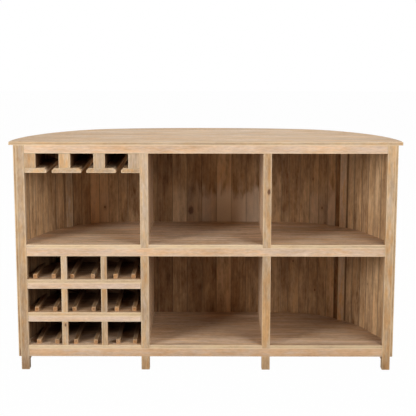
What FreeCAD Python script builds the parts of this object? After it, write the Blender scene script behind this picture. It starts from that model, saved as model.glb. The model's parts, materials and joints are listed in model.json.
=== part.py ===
import FreeCAD, Part
import math
import os

import Sketcher
from FreeCAD import Placement, Rotation, Vector

# Bow-backed bar counter, open towards the person who serves. Front faces of the posts and
# rails lie in one plane (negative Y); the boarded back bows out towards the guests (+Y).
# Origin: middle of the footprint, on the floor. X runs along the counter, Z is up.

os.makedirs("parts", exist_ok=True)
doc = FreeCAD.newDocument("bar_counter")

# ---------------------------------------------------------------- driving dimensions (mm, degrees)

SIZES = [
    ("counter_width", 1791.0, "over the tips of the top"),
    ("counter_depth", 655.0, "front of the frame to the back edge of the top"),
    ("counter_height", 1075.0, "floor to worktop"),
    ("top_thickness", 14.5, "worktop board"),
    ("top_tip_length", 50.0, "square cut at each tip of the top"),
    ("top_back_radius", 2270.0, "long curve of the top's back edge"),
    ("top_back_angle", 11.6, "angle from the middle to the end of the long curve"),
    ("top_shoulder_radius", 430.0, "tighter curve of the top's back edge"),
    ("top_shoulder_angle", 40.0, "angle from the middle to the end of the tighter curve"),
    ("top_edge_round", 1.5, "eased upper edge of the top"),
    ("tip_overhang", 19.5, "top past the boarding at the front"),
    ("rear_overhang", 54.0, "top past the boarding at the back"),
    ("plank_thickness", 11.5, "boarding"),
    ("back_plank_width", 75.6, "boarding, flat of the bow"),
    ("shoulder_plank_width", 49.5, "boarding, tight part of the bow"),
    ("side_plank_width", 62.0, "boarding, sides"),
    ("plank_gap", 0.6, "open joint between two planks"),
    ("tongue_thickness", 3.6, "tongue that closes a joint between two planks"),
    ("tongue_reach", 5.0, "tongue that closes a joint between two planks"),
    ("tongue_clearance", 0.2, "each side of a tongue in its groove"),
    ("plank_start", 22.0, "first joint, left of the middle of the back"),
    ("side_slope", 18.5, "sides of the bow, from the Y direction"),
    ("side_length", 226.0, "straight stretch of a side"),
    ("shoulder_radius", 392.0, "tight part of the bow"),
    ("shoulder_angle", 43.5, "angle that the tight part turns"),
    ("end_post_width", 37.0, "end post along X"),
    ("post_depth", 40.0, "front posts along Y"),
    ("mid_post_width", 38.0, "intermediate post along X"),
    ("rear_post_width", 38.0, "rear post, inner face"),
    ("rear_post_depth", 60.0, "rear post before its back is cut to the bow"),
    ("rear_post_angle", 20.0, "rear post, inner face from the X direction"),
    ("rear_post_shift", 18.2, "rear post, inner corner outwards of where the curves meet"),
    ("rear_post_inset", 41.8, "rear post, inner corner in front of where the curves meet"),
    ("rail_thickness", 20.0, "front rails along Y"),
    ("top_rail_height", 38.0, "front rail under the top"),
    ("rail_height", 39.5, "front rails under the shelves"),
    ("tenon_length", 20.0, "rail tenons in the end posts"),
    ("tenon_thickness", 8.0, "rail tenons along Y"),
    ("tenon_shoulder", 6.0, "rail above and below its tenon"),
    ("shelf_thickness", 14.5, "shelf boards"),
    ("mid_shelf_level", 598.5, "floor to the top of the middle shelves"),
    ("bottom_shelf_level", 118.5, "floor to the top of the bottom shelves"),
    ("panel_thickness", 22.0, "upright panels behind the intermediate posts"),
    ("bearer_thickness", 20.0, "battens that carry the top"),
    ("side_bearer_length", 320.0, "side battens"),
    ("hanger_bearer_setback", 190.0, "batten over the glass hangers, from the front"),
    ("hanger_bearer_width", 40.0, "batten over the glass hangers, along Y"),
    ("hanger_setback", 3.0, "glass hangers behind the front"),
    ("stem_width", 52.0, "web of a glass hanger"),
    ("stem_height", 69.0, "web of a glass hanger"),
    ("flange_thickness", 21.0, "flange of a glass hanger"),
    ("flange_ease", 9.0, "sloped upper edge of a flange"),
    ("hanger_slot", 25.0, "gap between two flanges"),
    ("hanger_slot_shift", 8.0, "gap from the middle of its channel"),
    ("bottle_upright_width", 27.0, "uprights of the bottle rack, along X"),
    ("bottle_upright_depth", 27.0, "uprights of the bottle rack, along Y"),
    ("bottle_rack_depth", 370.0, "front to the end of the bottle rests"),
    ("bottle_shelf_thickness", 17.0, "shelves of the bottle rack"),
    ("bottle_rail_height", 27.0, "rails under the bottle shelves"),
    ("upper_bottle_level", 434.0, "floor to the upper bottle shelf"),
    ("lower_bottle_level", 276.5, "floor to the lower bottle shelf"),
    ("rest_width", 19.0, "bottle rests"),
    ("rest_height", 20.0, "bottle rests"),
    ("rest_setback", 24.0, "bottle rests behind the front"),
    ("stop_width", 18.0, "batten behind the bottle rests"),
    ("stop_height", 26.0, "batten behind the bottle rests"),
    ("foot_block_width", 9.0, "glue block inside an end foot"),
    ("foot_block_height", 24.0, "glue block inside an end foot"),
    ("foot_block_depth", 26.0, "glue block inside an end foot"),
    ("foot_block_setback", 12.0, "glue block behind the front"),
]

sheet = doc.addObject("Spreadsheet::Sheet", "Dims")
for row, (alias, value, note) in enumerate(SIZES, start=1):
    sheet.set(f"A{row}", note)
    sheet.set(f"B{row}", str(value))
    sheet.setAlias(f"B{row}", alias)
doc.recompute()


def size(alias):
    """The value of one driving dimension."""
    return float(sheet.get(alias))


# Places that many pieces share, written once as expressions on the sheet.
FRONT = "(-Dims.counter_depth / 2)"
UNDER_TOP = "(Dims.counter_height - Dims.top_thickness)"
CHEEK = "(Dims.counter_width / 2 - Dims.tip_overhang - Dims.plank_thickness)"
END_POST_FACE = f"({CHEEK} - Dims.end_post_width)"
BAY = f"((2 * {END_POST_FACE} - 2 * Dims.mid_post_width) / 3)"
MID_POST_FACE = f"({BAY} / 2 + Dims.mid_post_width)"
PANEL_MIDDLE = f"({BAY} / 2 + Dims.mid_post_width / 2)"
PANEL_OUTSIDE = f"({PANEL_MIDDLE} + Dims.panel_thickness / 2)"
PANEL_INSIDE = f"({PANEL_MIDDLE} - Dims.panel_thickness / 2)"
BOW_DEPTH = "(Dims.counter_depth - Dims.rear_overhang - Dims.plank_thickness)"
BOW_BACK = f"({FRONT} + {BOW_DEPTH})"
MID_SHELF_UNDERSIDE = "(Dims.mid_shelf_level - Dims.shelf_thickness)"
BOTTOM_SHELF_UNDERSIDE = "(Dims.bottom_shelf_level - Dims.shelf_thickness)"
SKIRT = f"({BOTTOM_SHELF_UNDERSIDE} - Dims.rail_height)"
TOP_RAIL_UNDERSIDE = f"({UNDER_TOP} - Dims.top_rail_height)"
CELL = f"(({BAY} - 2 * Dims.bottle_upright_width) / 3)"
CELL_PITCH = f"({CELL} + Dims.bottle_upright_width)"
STEM_PITCH = f"(({BAY} - Dims.stem_width) / 3)"

# Where the two curves of the bow's right half meet, and the radius of the longer one.
SLOPE = "(Dims.side_slope * 1 deg)"
TURN = "(Dims.shoulder_angle * 1 deg)"
TURN_DEPTH = f"({BOW_DEPTH} - Dims.shoulder_radius * (1 - cos({TURN})))"
SIDE_RISE = f"({TURN_DEPTH} - Dims.post_depth - Dims.side_length * cos({SLOPE}))"
SIDE_RADIUS = f"({SIDE_RISE} / (cos({TURN}) - sin({SLOPE})))"
SIDE_END = f"({CHEEK} - Dims.side_length * sin({SLOPE}))"
TURN_HALF_WIDTH = f"({SIDE_END} - {SIDE_RADIUS} * (cos({SLOPE}) - sin({TURN})))"

# Inner corner of the right rear post.
CORNER_X = f"({TURN_HALF_WIDTH} + Dims.rear_post_shift)"
CORNER_Y = f"({FRONT} + {TURN_DEPTH} - Dims.rear_post_inset)"

ALMOST_ZERO = 1e-9

finished = []


def finish(obj, label):
    """Name a finished piece; its label is the name of its node."""
    obj.Label = label
    finished.append(obj)
    return obj


def box(name, x_span, y_span, z_span):
    """A box between two expressions along each direction."""
    obj = doc.addObject("Part::Box", name)
    for prop, axis, (low, high) in (
        ("Length", "x", x_span),
        ("Width", "y", y_span),
        ("Height", "z", z_span),
    ):
        obj.setExpression(prop, f"({high}) - ({low})")
        obj.setExpression(f"Placement.Base.{axis}", f"{low}")
    return obj


def joined(name, *pieces):
    """Several shapes as one tool or one piece."""
    obj = doc.addObject("Part::MultiFuse", name)
    obj.Shapes = list(pieces)
    return obj


def cut(name, base, tool):
    obj = doc.addObject("Part::Cut", name)
    obj.Base = base
    obj.Tool = tool
    return obj


def inside_bow(name, base):
    """What is left of a piece once its end is sawn to the curve of the bow."""
    obj = doc.addObject("Part::Common", name)
    obj.Base = base
    obj.Tool = bow_room
    return obj


def side_expression(side, low, high):
    """An X span on the right, or its mirror image on the left."""
    if side > 0:
        return (low, high)
    return (f"-({high})", f"-({low})")


# ---------------------------------------------------------------- plan of the bow


def bow_points():
    """Corners and centres of the bow's right half, measured from the front plane."""
    cheek = size("counter_width") / 2 - size("tip_overhang") - size("plank_thickness")
    depth = size("counter_depth") - size("rear_overhang") - size("plank_thickness")
    side_angle = math.radians(90 - size("side_slope"))
    turn = math.radians(size("shoulder_angle"))
    length = size("side_length")
    shoulder = size("shoulder_radius")
    rise = depth - size("post_depth") - length * math.sin(side_angle)
    rise -= shoulder * (1 - math.cos(turn))
    side_radius = rise / (math.cos(turn) - math.cos(side_angle))
    start = Vector(cheek, size("post_depth"), 0)
    side_end = start + Vector(-math.cos(side_angle), math.sin(side_angle), 0) * length
    side_normal = Vector(math.sin(side_angle), math.cos(side_angle), 0)
    side_centre = side_end - side_normal * side_radius
    turn_normal = Vector(math.sin(turn), math.cos(turn), 0)
    side_turn_end = side_centre + turn_normal * side_radius
    shoulder_centre = side_turn_end - turn_normal * shoulder
    return {
        "start": start,
        "side_end": side_end,
        "side_centre": side_centre,
        "side_radius": side_radius,
        "side_angle": side_angle,
        "turn_point": side_turn_end,
        "turn": turn,
        "shoulder_centre": shoulder_centre,
        "back_corner": Vector(shoulder_centre.x, depth, 0),
    }


def mirrored(point):
    return Vector(-point.x, point.y, 0)


def dimension(sketch, kind, places, value, expression, name):
    """A named sketch dimension that follows the sheet."""
    index = sketch.addConstraint(Sketcher.Constraint(kind, *places, value))
    sketch.renameConstraint(index, name)
    sketch.setExpression(f"Constraints.{name}", expression)


def arc_between(centre, radius, low, high):
    circle = Part.Circle(centre, Vector(0, 0, 1), radius)
    return Part.ArcOfCircle(circle, low, high)


def arc_angle(centre, point):
    return math.atan2(point.y - centre.y, point.x - centre.x)


def right_arc(centre, lower, upper):
    return arc_between(
        centre, (lower - centre).Length, arc_angle(centre, lower), arc_angle(centre, upper)
    )


def left_arc(centre, lower, upper):
    centre, lower, upper = mirrored(centre), mirrored(lower), mirrored(upper)
    return arc_between(
        centre, (lower - centre).Length, arc_angle(centre, upper), arc_angle(centre, lower)
    )


def bow_sketch():
    """Inner face of the boarding, closed by the front plane; constrained from the sheet."""
    bow = bow_points()
    front_corner = Vector(bow["start"].x, 0, 0)
    sketch = doc.addObject("Sketcher::SketchObject", "bow_sketch")
    geometry = [
        Part.LineSegment(mirrored(front_corner), front_corner),
        Part.LineSegment(front_corner, bow["start"]),
        Part.LineSegment(bow["start"], bow["side_end"]),
        right_arc(bow["side_centre"], bow["side_end"], bow["turn_point"]),
        right_arc(bow["shoulder_centre"], bow["turn_point"], bow["back_corner"]),
        Part.LineSegment(bow["back_corner"], mirrored(bow["back_corner"])),
        left_arc(bow["shoulder_centre"], bow["turn_point"], bow["back_corner"]),
        left_arc(bow["side_centre"], bow["side_end"], bow["turn_point"]),
        Part.LineSegment(mirrored(bow["side_end"]), mirrored(bow["start"])),
        Part.LineSegment(mirrored(bow["start"]), mirrored(front_corner)),
    ]
    for item in geometry:
        sketch.addGeometry(item, False)
    front, cheek, side, side_arc, shoulder, back, l_shoulder, l_side_arc, l_side, l_cheek = range(10)
    rule = Sketcher.Constraint
    sketch.addConstraint(
        [
            rule("Coincident", front, 2, cheek, 1),
            rule("Coincident", cheek, 2, side, 1),
            rule("Tangent", side, 2, side_arc, 1),
            rule("Tangent", side_arc, 2, shoulder, 1),
            rule("Tangent", shoulder, 2, back, 1),
            rule("Coincident", back, 2, l_shoulder, 1),
            rule("Coincident", l_shoulder, 2, l_side_arc, 1),
            rule("Coincident", l_side_arc, 2, l_side, 1),
            rule("Coincident", l_side, 2, l_cheek, 1),
            rule("Coincident", l_cheek, 2, front, 1),
            rule("PointOnObject", front, 2, -1),
            rule("Symmetric", front, 2, front, 1, -2),
            rule("Symmetric", cheek, 2, l_cheek, 1, -2),
            rule("Symmetric", side, 2, l_side, 1, -2),
            rule("Symmetric", side_arc, 2, l_side_arc, 1, -2),
            rule("Symmetric", back, 1, back, 2, -2),
            rule("Equal", side_arc, l_side_arc),
            rule("Equal", shoulder, l_shoulder),
            rule("Vertical", cheek),
        ]
    )

    side_text = "(90 + Dims.side_slope) * 1 deg"
    for kind, places, value, expression, name in (
        ("DistanceX", (-1, 1, front, 2), front_corner.x, CHEEK, "half_width"),
        ("DistanceY", (cheek, 1, cheek, 2), bow["start"].y, "Dims.post_depth", "post"),
        ("Distance", (side,), size("side_length"), "Dims.side_length", "side"),
        ("DistanceY", (-1, 1, back, 1), bow["back_corner"].y, BOW_DEPTH, "depth"),
        ("Radius", (shoulder,), size("shoulder_radius"), "Dims.shoulder_radius", "tight"),
        ("Angle", (-1, 1, side, 1), math.pi - bow["side_angle"], side_text, "slope"),
        ("Angle", (shoulder,), bow["turn"], "Dims.shoulder_angle * 1 deg", "turn"),
    ):
        dimension(sketch, kind, places, value, expression, name)
    sketch.setExpression("Placement.Base.y", FRONT)
    return sketch


def extruded(name, sketch, height, low="0"):
    """A sketch on the XY plane, pushed up between two levels."""
    obj = doc.addObject("Part::Extrusion", name)
    obj.Base = sketch
    obj.DirMode = "Custom"
    obj.Dir = Vector(0, 0, 1)
    obj.Solid = True
    obj.setExpression("LengthFwd", f"({height}) - ({low})")
    obj.setExpression("Placement.Base.z", low)
    return obj


bow_room = extruded("bow_room", bow_sketch(), "Dims.counter_height")

# ---------------------------------------------------------------- top


def top_points():
    """Joints and centres of the top's right half, measured from the front plane."""
    turn = math.radians(size("top_back_angle"))
    far_turn = math.radians(size("top_shoulder_angle"))
    back_centre = Vector(0, size("counter_depth") - size("top_back_radius"), 0)
    normal = Vector(math.sin(turn), math.cos(turn), 0)
    back_joint = back_centre + normal * size("top_back_radius")
    shoulder_centre = back_joint - normal * size("top_shoulder_radius")
    far_normal = Vector(math.sin(far_turn), math.cos(far_turn), 0)
    side_joint = shoulder_centre + far_normal * size("top_shoulder_radius")
    tip = Vector(size("counter_width") / 2, 0, 0)
    tip_end = tip + Vector(0, size("top_tip_length"), 0)
    chord = tip_end - side_joint
    side_radius = -chord.dot(chord) / (2 * chord.dot(far_normal))
    return {
        "tip": tip,
        "tip_end": tip_end,
        "side_centre": side_joint - far_normal * side_radius,
        "side_joint": side_joint,
        "shoulder_centre": shoulder_centre,
        "back_joint": back_joint,
        "back_centre": back_centre,
    }


def top_outline(body):
    """A long curve at the back, a tighter one each side of it, and one to each square tip."""
    top = top_points()
    sketch = body.newObject("Sketcher::SketchObject", "top_sketch")
    plane = [f for f in body.Origin.OriginFeatures if f.Role == "XY_Plane"][0]
    sketch.AttachmentSupport = (plane, [""])
    sketch.MapMode = "FlatFace"
    turn = math.radians(size("top_back_angle"))
    back_arc = arc_between(
        top["back_centre"], size("top_back_radius"), math.pi / 2 - turn, math.pi / 2 + turn
    )
    for item in [
        Part.LineSegment(mirrored(top["tip"]), top["tip"]),
        Part.LineSegment(top["tip"], top["tip_end"]),
        right_arc(top["side_centre"], top["tip_end"], top["side_joint"]),
        right_arc(top["shoulder_centre"], top["side_joint"], top["back_joint"]),
        back_arc,
        left_arc(top["shoulder_centre"], top["side_joint"], top["back_joint"]),
        left_arc(top["side_centre"], top["tip_end"], top["side_joint"]),
        Part.LineSegment(mirrored(top["tip_end"]), mirrored(top["tip"])),
    ]:
        sketch.addGeometry(item, False)
    front, tip_cut, side, shoulder, back, l_shoulder, l_side, l_tip_cut = range(8)
    rule = Sketcher.Constraint
    sketch.addConstraint(
        [
            rule("Coincident", front, 2, tip_cut, 1),
            rule("Coincident", tip_cut, 2, side, 1),
            rule("Tangent", side, 2, shoulder, 1),
            rule("Tangent", shoulder, 2, back, 1),
            rule("Coincident", back, 2, l_shoulder, 1),
            rule("Coincident", l_shoulder, 2, l_side, 1),
            rule("Coincident", l_side, 2, l_tip_cut, 1),
            rule("Coincident", l_tip_cut, 2, front, 1),
            rule("PointOnObject", front, 2, -1),
            rule("PointOnObject", back, 3, -2),
            rule("Symmetric", front, 2, front, 1, -2),
            rule("Symmetric", tip_cut, 2, l_tip_cut, 1, -2),
            rule("Symmetric", side, 2, l_side, 1, -2),
            rule("Symmetric", back, 1, back, 2, -2),
            rule("Equal", side, l_side),
            rule("Equal", shoulder, l_shoulder),
            rule("Vertical", tip_cut),
        ]
    )
    half_width = top["tip"].x
    back_drop = -top["back_centre"].y
    bend = math.radians(size("top_shoulder_angle")) - turn
    bend_text = "(Dims.top_shoulder_angle - Dims.top_back_angle) * 1 deg"
    for kind, places, value, expression, name in (
        ("DistanceX", (-1, 1, front, 2), half_width, "Dims.counter_width / 2", "half_width"),
        ("DistanceY", (tip_cut, 1, tip_cut, 2), top["tip_end"].y, "Dims.top_tip_length", "tip"),
        ("Radius", (back,), size("top_back_radius"), "Dims.top_back_radius", "back_radius"),
        ("Radius", (shoulder,), size("top_shoulder_radius"), "Dims.top_shoulder_radius", "tight"),
        ("Angle", (back,), 2 * turn, "2 * Dims.top_back_angle * 1 deg", "back_angle"),
        ("Angle", (shoulder,), bend, bend_text, "shoulder_angle"),
        (
            "DistanceY",
            (back, 3, -1, 1),
            back_drop,
            "Dims.top_back_radius - Dims.counter_depth",
            "back_centre",
        ),
    ):
        dimension(sketch, kind, places, value, expression, name)
    return sketch


def top_board():
    body = doc.addObject("PartDesign::Body", "top_board_body")
    sketch = top_outline(body)
    pad = body.newObject("PartDesign::Pad", "top_pad")
    pad.Profile = sketch
    pad.setExpression("Length", "Dims.top_thickness")
    doc.recompute()
    rim = []
    for index, edge in enumerate(pad.Shape.Edges, start=1):
        low = edge.BoundBox.ZMin
        if low > size("top_thickness") / 2:
            rim.append(f"Edge{index}")
    ease = body.newObject("PartDesign::Fillet", "top_ease")
    ease.Base = (pad, rim)
    ease.setExpression("Radius", "Dims.top_edge_round")
    body.Tip = ease
    body.setExpression("Placement.Base.y", FRONT)
    body.setExpression("Placement.Base.z", UNDER_TOP)
    return finish(body, "top_board")


top_board()

# ---------------------------------------------------------------- front frame


def front_rail(name, low, high):
    """A rail between the end posts, with a tenon at each end."""
    reach = f"({END_POST_FACE} + Dims.tenon_length)"
    middle = f"({FRONT} + Dims.rail_thickness / 2)"
    rail = box(
        f"{name}_bar",
        (f"-{END_POST_FACE}", END_POST_FACE),
        (FRONT, f"{FRONT} + Dims.rail_thickness"),
        (low, high),
    )
    tenons = box(
        f"{name}_tenons",
        (f"-{reach}", reach),
        (f"{middle} - Dims.tenon_thickness / 2", f"{middle} + Dims.tenon_thickness / 2"),
        (f"{low} + Dims.tenon_shoulder", f"{high} - Dims.tenon_shoulder"),
    )
    return finish(joined(f"{name}_piece", rail, tenons), name)


top_rail = front_rail("top_rail", TOP_RAIL_UNDERSIDE, UNDER_TOP)
middle_rail = front_rail(
    "middle_rail", f"({MID_SHELF_UNDERSIDE} - Dims.rail_height)", MID_SHELF_UNDERSIDE
)
bottom_rail = front_rail("bottom_rail", SKIRT, BOTTOM_SHELF_UNDERSIDE)
front_rails = joined("front_rails", top_rail, middle_rail, bottom_rail)


def front_post(name, x_span):
    """A full-height post, mortised or notched for the rails that reach it."""
    blank = box(
        f"{name}_blank", x_span, (FRONT, f"{FRONT} + Dims.post_depth"), ("0", UNDER_TOP)
    )
    return finish(cut(f"{name}_piece", blank, front_rails), name)


posts = {}
for side, word in ((-1, "left"), (1, "right")):
    posts[f"end_{word}"] = front_post(
        f"end_post_{word}", side_expression(side, END_POST_FACE, CHEEK)
    )
    posts[f"mid_{word}"] = front_post(
        f"mid_post_{word}", side_expression(side, f"{BAY} / 2", MID_POST_FACE)
    )


def rear_post(side, word):
    """A post behind the shelves' corner, its back sawn to the bow."""
    blank = doc.addObject("Part::Box", f"rear_post_{word}_blank")
    blank.setExpression("Length", "Dims.rear_post_width")
    blank.setExpression("Width", "Dims.rear_post_depth")
    blank.setExpression("Height", UNDER_TOP)
    turn = "-Dims.rear_post_angle"
    start_x = CORNER_X
    start_y = CORNER_Y
    if side < 0:
        turn = "Dims.rear_post_angle"
        start_x = f"-{CORNER_X} - Dims.rear_post_width * cos(Dims.rear_post_angle * 1 deg)"
        start_y += " - Dims.rear_post_width * sin(Dims.rear_post_angle * 1 deg)"
    blank.setExpression("Placement.Base.x", start_x)
    blank.setExpression("Placement.Base.y", start_y)
    blank.setExpression("Placement.Rotation.Angle", f"{turn} * 1 deg")
    return finish(inside_bow(f"rear_post_{word}_piece", blank), f"rear_post_{word}")


for side, word in ((-1, "left"), (1, "right")):
    posts[f"rear_{word}"] = rear_post(side, word)
all_posts = joined("all_posts", *posts.values())


def trimmed_to_room(name, blank, obstacles):
    """A blank whose end is sawn to the bow, and cut out round what it meets."""
    return cut(f"{name}_piece", inside_bow(f"{name}_trimmed", blank), obstacles)


def fitted(name, blank, obstacles=all_posts):
    return finish(trimmed_to_room(name, blank, obstacles), name)


# ---------------------------------------------------------------- battens that carry the top

bearer_levels = (TOP_RAIL_UNDERSIDE, UNDER_TOP)


def side_bearer(side, word):
    """A batten along the straight stretch of a side, behind the end post."""
    blank = doc.addObject("Part::Box", f"side_bearer_{word}_blank")
    blank.setExpression("Length", "Dims.bearer_thickness")
    blank.setExpression("Width", "Dims.side_bearer_length")
    blank.setExpression("Height", "Dims.top_rail_height")
    inner_x = f"({CHEEK} - Dims.bearer_thickness * cos({SLOPE}))"
    clear_y = f"({FRONT} + Dims.post_depth - Dims.bearer_thickness * sin({SLOPE}))"
    if side > 0:
        blank.setExpression("Placement.Base.x", inner_x)
        blank.setExpression("Placement.Base.y", clear_y)
        blank.setExpression("Placement.Rotation.Angle", SLOPE)
    else:
        blank.setExpression("Placement.Base.x", f"-{CHEEK}")
        blank.setExpression("Placement.Base.y", f"{FRONT} + Dims.post_depth")
        blank.setExpression("Placement.Rotation.Angle", f"-{SLOPE}")
    blank.setExpression("Placement.Base.z", TOP_RAIL_UNDERSIDE)
    return fitted(f"side_bearer_{word}", blank)


side_bearers = {word: side_bearer(side, word) for side, word in ((-1, "left"), (1, "right"))}

rear_bearer = finish(
    box(
        "rear_bearer_piece",
        (f"-{MID_POST_FACE}", MID_POST_FACE),
        (f"{BOW_BACK} - Dims.bearer_thickness", BOW_BACK),
        bearer_levels,
    ),
    "rear_bearer",
)

hanger_bearer_front = f"({FRONT} + Dims.hanger_bearer_setback)"
hanger_bearer_blank = box(
    "hanger_bearer_blank",
    (f"-{CHEEK}", f"-{PANEL_OUTSIDE}"),
    (hanger_bearer_front, f"{hanger_bearer_front} + Dims.hanger_bearer_width"),
    bearer_levels,
)
hanger_bearer = finish(
    cut(
        "hanger_bearer_piece",
        inside_bow("hanger_bearer_trimmed", hanger_bearer_blank),
        side_bearers["left"],
    ),
    "hanger_bearer",
)

# ---------------------------------------------------------------- upright panels and shelves

for side, word in ((-1, "left"), (1, "right")):
    blank = box(
        f"divider_panel_{word}_blank",
        side_expression(side, PANEL_INSIDE, PANEL_OUTSIDE),
        (f"{FRONT} + Dims.post_depth", BOW_BACK),
        (SKIRT, UNDER_TOP),
    )
    trimmed = inside_bow(f"divider_panel_{word}_trimmed", blank)
    finish(cut(f"divider_panel_{word}_piece", trimmed, rear_bearer), f"divider_panel_{word}")

SHELF_BAYS = {
    "left": (f"-{CHEEK}", f"-{PANEL_OUTSIDE}"),
    "middle": (f"-{PANEL_INSIDE}", PANEL_INSIDE),
    "right": (PANEL_OUTSIDE, CHEEK),
}


def shelf(name, bay, level, thickness):
    """A board cut to the bow at its back and round the posts, flush with the rails."""
    blank = box(f"{name}_blank", SHELF_BAYS[bay], (FRONT, BOW_BACK), (f"{level} - {thickness}", level))
    return fitted(name, blank)


for tier, level in (("mid", "Dims.mid_shelf_level"), ("bottom", "Dims.bottom_shelf_level")):
    for bay in SHELF_BAYS:
        shelf(f"{tier}_shelf_{bay}", bay, level, "Dims.shelf_thickness")

# ---------------------------------------------------------------- bottle rack, left bay, below

BOTTLE_LEVELS = {"upper": "Dims.upper_bottle_level", "lower": "Dims.lower_bottle_level"}
for word, level in BOTTLE_LEVELS.items():
    shelf(f"bottle_shelf_{word}", "left", level, "Dims.bottle_shelf_thickness")
    rail_top = f"({level} - Dims.bottle_shelf_thickness)"
    finish(
        box(
            f"bottle_rail_{word}_piece",
            (f"-{END_POST_FACE}", f"-{MID_POST_FACE}"),
            (FRONT, f"{FRONT} + Dims.rail_thickness"),
            (f"{rail_top} - Dims.bottle_rail_height", rail_top),
        ),
        f"bottle_rail_{word}",
    )

# Each row: its floor and the underside of the rail above it.
ROW_RAIL = "Dims.bottle_shelf_thickness - Dims.bottle_rail_height"
BOTTLE_ROWS = {
    "top": ("Dims.upper_bottle_level", f"{MID_SHELF_UNDERSIDE} - Dims.rail_height"),
    "middle": ("Dims.lower_bottle_level", f"Dims.upper_bottle_level - {ROW_RAIL}"),
    "bottom": ("Dims.bottom_shelf_level", f"Dims.lower_bottle_level - {ROW_RAIL}"),
}
RACK_BACK = f"({FRONT} + Dims.bottle_rack_depth)"


def cell_start(column):
    return f"(-{END_POST_FACE} + {column} * {CELL_PITCH})"


for row_word, (floor, ceiling) in BOTTLE_ROWS.items():
    for column, word in ((1, "left"), (2, "right")):
        name = f"bottle_upright_{row_word}_{word}"
        right = cell_start(column)
        upright = box(
            f"{name}_piece",
            (f"{right} - Dims.bottle_upright_width", right),
            (FRONT, f"{FRONT} + Dims.bottle_upright_depth"),
            (floor, ceiling),
        )
        finish(upright, name)
    stop = box(
        f"bottle_stop_{row_word}_blank",
        (f"-{CHEEK}", f"-{PANEL_OUTSIDE}"),
        (RACK_BACK, f"{RACK_BACK} + Dims.stop_width"),
        (floor, f"{floor} + Dims.stop_height"),
    )
    fitted(f"bottle_stop_{row_word}", stop)

# The rests were nailed down by eye: (distance apart, shift from the middle of the cell).
REST_PLACES = {
    "top": {"left": (86.0, -2.0), "middle": (97.0, -9.0), "right": (84.0, 2.0)},
    "middle": {"left": (86.0, 2.0), "middle": (90.0, -5.0), "right": (82.0, 5.0)},
    "bottom": {"left": (86.0, 8.0), "middle": (94.0, 1.0), "right": (80.0, 8.0)},
}
for row_word, cells in REST_PLACES.items():
    floor = BOTTLE_ROWS[row_word][0]
    for column, (word, (spacing, shift)) in enumerate(cells.items()):
        middle = f"({cell_start(column)} + {CELL} / 2 + {shift})"
        name = f"bottle_rests_{row_word}_{word}"
        pair = []
        for hand in (-1, 1):
            left = f"{middle} + {hand * spacing / 2} - Dims.rest_width / 2"
            blank = box(
                f"{name}_{'right' if hand > 0 else 'left'}",
                (left, f"{left} + Dims.rest_width"),
                (f"{FRONT} + Dims.rest_setback", RACK_BACK),
                (floor, f"{floor} + Dims.rest_height"),
            )
            pair.append(trimmed_to_room(blank.Name, blank, all_posts))
        group = doc.addObject("Part::Compound", f"{name}_pair")
        group.Links = pair
        finish(group, name)

# ---------------------------------------------------------------- glass hangers, left bay, above

STEM_FOOT = f"({TOP_RAIL_UNDERSIDE} - Dims.stem_height)"
FLANGE_FOOT = f"({STEM_FOOT} - Dims.flange_thickness)"
HANGER_FRONT = f"({FRONT} + Dims.hanger_setback)"


def stem_left(index):
    return f"(-{END_POST_FACE} + {index} * {STEM_PITCH})"


def slot_middle(index):
    """Middle of the gap to the right of hanger number index."""
    channel = f"({STEM_PITCH} - Dims.stem_width)"
    return f"({stem_left(index)} + Dims.stem_width + {channel} / 2 + Dims.hanger_slot_shift)"


def flange_profile(name, left, right, eased_left, eased_right):
    """A board whose upper edges slope towards the slots beside it."""
    sketch = doc.addObject("Sketcher::SketchObject", f"{name}_profile")
    # Drawn two webs wide at first; the width rule below sets the real one.
    width, high, ease = 2 * size("stem_width"), size("flange_thickness"), size("flange_ease")
    corners = [Vector(0, 0, 0), Vector(width, 0, 0)]
    if eased_right:
        corners += [Vector(width, high - ease, 0), Vector(width - ease, high, 0)]
    else:
        corners += [Vector(width, high, 0)]
    if eased_left:
        corners += [Vector(ease, high, 0), Vector(0, high - ease, 0)]
    else:
        corners += [Vector(0, high, 0)]
    count = len(corners)
    rule = Sketcher.Constraint
    for index, corner in enumerate(corners):
        sketch.addGeometry(Part.LineSegment(corner, corners[(index + 1) % count]), False)
    for index in range(count):
        sketch.addConstraint(rule("Coincident", index, 2, (index + 1) % count, 1))
    sketch.addConstraint(rule("Coincident", 0, 1, -1, 1))
    for index in range(count):
        step = corners[(index + 1) % count] - corners[index]
        if abs(step.x) < ALMOST_ZERO:
            sketch.addConstraint(rule("Vertical", index))
        elif abs(step.y) < ALMOST_ZERO:
            sketch.addConstraint(rule("Horizontal", index))

    top_edge = 3 if eased_right else 2
    slope = top_edge + 1
    rules = [
        ("DistanceX", (0, 1, 0, 2), width, f"{right} - {left}", "width"),
        ("DistanceY", (-1, 1, top_edge, 1), high, "Dims.flange_thickness", "thickness"),
    ]
    if eased_right:
        rules.append(("DistanceX", (2, 2, 2, 1), ease, "Dims.flange_ease", "right_run"))
        rules.append(("DistanceY", (2, 1, 2, 2), ease, "Dims.flange_ease", "right_rise"))
    if eased_left:
        rules.append(("DistanceX", (slope, 2, slope, 1), ease, "Dims.flange_ease", "left_run"))
        rules.append(("DistanceY", (slope, 2, slope, 1), ease, "Dims.flange_ease", "left_rise"))
    for item in rules:
        dimension(sketch, *item)
    sketch.Placement = Placement(Vector(0, 0, 0), Rotation(Vector(1, 0, 0), 90))
    sketch.setExpression("Placement.Base.x", left)
    sketch.setExpression("Placement.Base.y", HANGER_FRONT)
    sketch.setExpression("Placement.Base.z", FLANGE_FOOT)
    return sketch


# A hanger that meets the rear post ends there.
behind_rear_post = box(
    "behind_rear_post",
    (f"-{CHEEK}", f"-{CORNER_X}"),
    (CORNER_Y, BOW_BACK),
    (FLANGE_FOOT, TOP_RAIL_UNDERSIDE),
)
hanger_obstacles = joined("hanger_obstacles", all_posts, behind_rear_post)

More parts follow.
